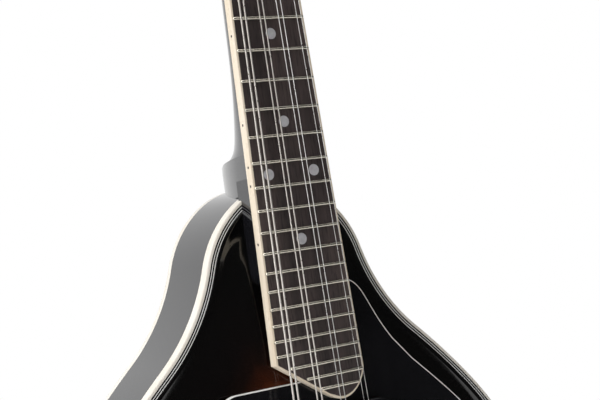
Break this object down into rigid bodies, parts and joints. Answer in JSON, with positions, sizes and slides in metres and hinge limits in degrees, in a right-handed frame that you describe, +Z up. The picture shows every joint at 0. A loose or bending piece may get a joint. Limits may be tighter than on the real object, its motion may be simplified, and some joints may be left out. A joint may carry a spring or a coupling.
{
  "type": "mandolin",
  "caption": "Arched-top teardrop mandolin with bound fretboard, geared tuners, adjustable bridge, sliding tailpiece cover and a pickup in its pickguard.",
  "frame": {"origin": "on the waist of the end pin below the tail, on the centre plane and half way through the rim's depth", "axes": "+Z runs up the body to the neck and headstock, -Y is the front with the strings, +X is the treble side with the pickguard and knobs"},
  "size_m": [0.2562, 0.0888, 0.6804],
  "materials": {
    "sunburst_top": "gloss sunburst lacquer over spruce",
    "black_lacquer_wood": "black lacquer over maple, high gloss",
    "block_wood": "bare wood",
    "ivory_plastic": "polished cream plastic",
    "purfling_lines": "black and white plastic lines",
    "rosewood": "oiled dark rosewood",
    "ebony": "dark stained hardwood, satin",
    "bone": "bone, polished",
    "fret_wire": "nickel silver",
    "pearl": "pearl grey",
    "black_plastic": "black plastic",
    "white_plastic": "white plastic edge",
    "nickel": "nickel plate",
    "steel": "plain steel",
    "brass": "brass",
    "string_wire": "plain and wound string wire",
    "rubber": "black rubber",
    "copper_wire": "lacquered coil winding"
  },
  "bodies": {
    "instrument": {"top_plate": "sunburst_top", "back_plate": "black_lacquer_wood", "ribs": "black_lacquer_wood", "neck_block": "block_wood", "tail_block": "block_wood", "linings": "block_wood", "tone_bars": "block_wood", "top_binding": "ivory_plastic", "top_purfling": "purfling_lines", "back_binding": "ivory_plastic", "neck": "black_lacquer_wood", "fretboard_riser": "black_lacquer_wood", "truss_rod": "steel", "truss_rod_cover": "black_plastic", "headstock_veneer": "black_lacquer_wood", "nut": "bone", "fretboard": "rosewood", "fretboard_binding": "ivory_plastic", "frets": "fret_wire", "face_dots": "pearl", "side_dots": "black_plastic", "pickguard": "black_plastic", "pickguard_trim": "white_plastic", "pickguard_spacers": "rubber", "wood_screws": "nickel", "bridge_base": "ebony", "bridge_posts": "steel", "tailpiece_base": "nickel", "tailpiece_screws": "nickel", "strap_button": "black_plastic", "strings": "string_wire", "tuner_plates": "nickel", "post_bushings": "nickel", "pickup_cover": "black_plastic", "pickup_coil": "copper_wire", "potentiometers": "nickel", "jack_socket": "nickel"},
    "tuner_1": {"tuner_shaft_1": "ivory_plastic"},
    "post_1": {"string_post_1": "nickel"},
    "tuner_2": {"tuner_shaft_2": "ivory_plastic"},
    "post_2": {"string_post_2": "nickel"},
    "tuner_3": {"tuner_shaft_3": "ivory_plastic"},
    "post_3": {"string_post_3": "nickel"},
    "tuner_4": {"tuner_shaft_4": "ivory_plastic"},
    "post_4": {"string_post_4": "nickel"},
    "tuner_5": {"tuner_shaft_5": "ivory_plastic"},
    "post_5": {"string_post_5": "nickel"},
    "tuner_6": {"tuner_shaft_6": "ivory_plastic"},
    "post_6": {"string_post_6": "nickel"},
    "tuner_7": {"tuner_shaft_7": "ivory_plastic"},
    "post_7": {"string_post_7": "nickel"},
    "tuner_8": {"tuner_shaft_8": "ivory_plastic"},
    "post_8": {"string_post_8": "nickel"},
    "saddle": {"bridge_saddle": "ebony"},
    "wheel_bass": {"thumbwheel_bass": "brass"},
    "wheel_treble": {"thumbwheel_treble": "brass"},
    "tailpiece_lid": {"tailpiece_cover": "nickel"},
    "volume_control": {"volume_knob": "black_plastic"},
    "tone_control": {"tone_knob": "black_plastic"},
    "truss_adjuster": {"truss_nut": "brass"}
  },
  "joints": [
    {"name": "tuner_1_turn", "type": "hinge", "parent": "instrument", "child": "tuner_1", "pos_m": [-0.0185, 0.0038, 0.54622], "axis": [-1, 0, 0], "continuous": true},
    {"name": "post_1_turn", "type": "hinge", "parent": "instrument", "child": "post_1", "pos_m": [-0.0185, -0.01244, 0.55841], "axis": [0, -0.9562, 0.2929], "continuous": true},
    {"name": "tuner_2_turn", "type": "hinge", "parent": "instrument", "child": "tuner_2", "pos_m": [-0.0185, 0.01054, 0.56821], "axis": [-1, 0, 0], "continuous": true},
    {"name": "post_2_turn", "type": "hinge", "parent": "instrument", "child": "post_2", "pos_m": [-0.0185, -0.0057, 0.5804], "axis": [0, -0.9562, 0.2929], "continuous": true},
    {"name": "tuner_3_turn", "type": "hinge", "parent": "instrument", "child": "tuner_3", "pos_m": [-0.0185, 0.01728, 0.5902], "axis": [-1, 0, 0], "continuous": true},
    {"name": "post_3_turn", "type": "hinge", "parent": "instrument", "child": "post_3", "pos_m": [-0.0185, 0.00103, 0.60239], "axis": [0, -0.9562, 0.2929], "continuous": true},
    {"name": "tuner_4_turn", "type": "hinge", "parent": "instrument", "child": "tuner_4", "pos_m": [-0.0185, 0.02401, 0.61219], "axis": [-1, 0, 0], "continuous": true},
    {"name": "post_4_turn", "type": "hinge", "parent": "instrument", "child": "post_4", "pos_m": [-0.0185, 0.00777, 0.62438], "axis": [0, -0.9562, 0.2929], "continuous": true},
    {"name": "tuner_5_turn", "type": "hinge", "parent": "instrument", "child": "tuner_5", "pos_m": [0.0185, 0.0038, 0.54622], "axis": [1, 0, 0], "continuous": true},
    {"name": "post_5_turn", "type": "hinge", "parent": "instrument", "child": "post_5", "pos_m": [0.0185, -0.01244, 0.55841], "axis": [0, -0.9562, 0.2929], "continuous": true},
    {"name": "tuner_6_turn", "type": "hinge", "parent": "instrument", "child": "tuner_6", "pos_m": [0.0185, 0.01054, 0.56821], "axis": [1, 0, 0], "continuous": true},
    {"name": "post_6_turn", "type": "hinge", "parent": "instrument", "child": "post_6", "pos_m": [0.0185, -0.0057, 0.5804], "axis": [0, -0.9562, 0.2929], "continuous": true},
    {"name": "tuner_7_turn", "type": "hinge", "parent": "instrument", "child": "tuner_7", "pos_m": [0.0185, 0.01728, 0.5902], "axis": [1, 0, 0], "continuous": true},
    {"name": "post_7_turn", "type": "hinge", "parent": "instrument", "child": "post_7", "pos_m": [0.0185, 0.00103, 0.60239], "axis": [0, -0.9562, 0.2929], "continuous": true},
    {"name": "tuner_8_turn", "type": "hinge", "parent": "instrument", "child": "tuner_8", "pos_m": [0.0185, 0.02401, 0.61219], "axis": [1, 0, 0], "continuous": true},
    {"name": "post_8_turn", "type": "hinge", "parent": "instrument", "child": "post_8", "pos_m": [0.0185, 0.00777, 0.62438], "axis": [0, -0.9562, 0.2929], "continuous": true},
    {"name": "saddle_height", "type": "slide", "parent": "instrument", "child": "saddle", "axis": [0, -1, 0], "range_m": [-0.001, 0.002], "deforming": ["strings"]},
    {"name": "wheel_bass_spin", "type": "hinge", "parent": "saddle", "child": "wheel_bass", "pos_m": [-0.028, -0.044, 0.16623], "axis": [0, -1, 0], "range_deg": [-455, 905]},
    {"name": "wheel_treble_spin", "type": "hinge", "parent": "saddle", "child": "wheel_treble", "pos_m": [0.028, -0.044, 0.16623], "axis": [0, -1, 0], "range_deg": [-455, 905]},
    {"name": "cover_slide", "type": "slide", "parent": "instrument", "child": "tailpiece_lid", "axis": [0, 0, -1], "range_m": [0, 0.045]},
    {"name": "volume_turn", "type": "hinge", "parent": "instrument", "child": "volume_control", "pos_m": [0.078, -0.032, 0.096], "axis": [0, 1, 0], "range_deg": [0, 300]},
    {"name": "tone_turn", "type": "hinge", "parent": "instrument", "child": "tone_control", "pos_m": [0.062, -0.032, 0.062], "axis": [0, 1, 0], "range_deg": [0, 300]},
    {"name": "truss_nut_turn", "type": "hinge", "parent": "instrument", "child": "truss_adjuster", "pos_m": [0, -0.01771, 0.51926], "axis": [0, 0.0529, 0.9986], "range_deg": [-180, 180]}
  ],
  "couplings": [
    {"joint": "post_1_turn", "follows": "tuner_1_turn", "ratio": 0.066667},
    {"joint": "post_2_turn", "follows": "tuner_2_turn", "ratio": 0.066667},
    {"joint": "post_3_turn", "follows": "tuner_3_turn", "ratio": 0.066667},
    {"joint": "post_4_turn", "follows": "tuner_4_turn", "ratio": 0.066667},
    {"joint": "post_5_turn", "follows": "tuner_5_turn", "ratio": -0.066667},
    {"joint": "post_6_turn", "follows": "tuner_6_turn", "ratio": -0.066667},
    {"joint": "post_7_turn", "follows": "tuner_7_turn", "ratio": -0.066667},
    {"joint": "post_8_turn", "follows": "tuner_8_turn", "ratio": -0.066667},
    {"joint": "wheel_bass_spin", "follows": "saddle_height", "rad_per_m": 7854},
    {"joint": "wheel_treble_spin", "follows": "saddle_height", "rad_per_m": 7854}
  ]
}
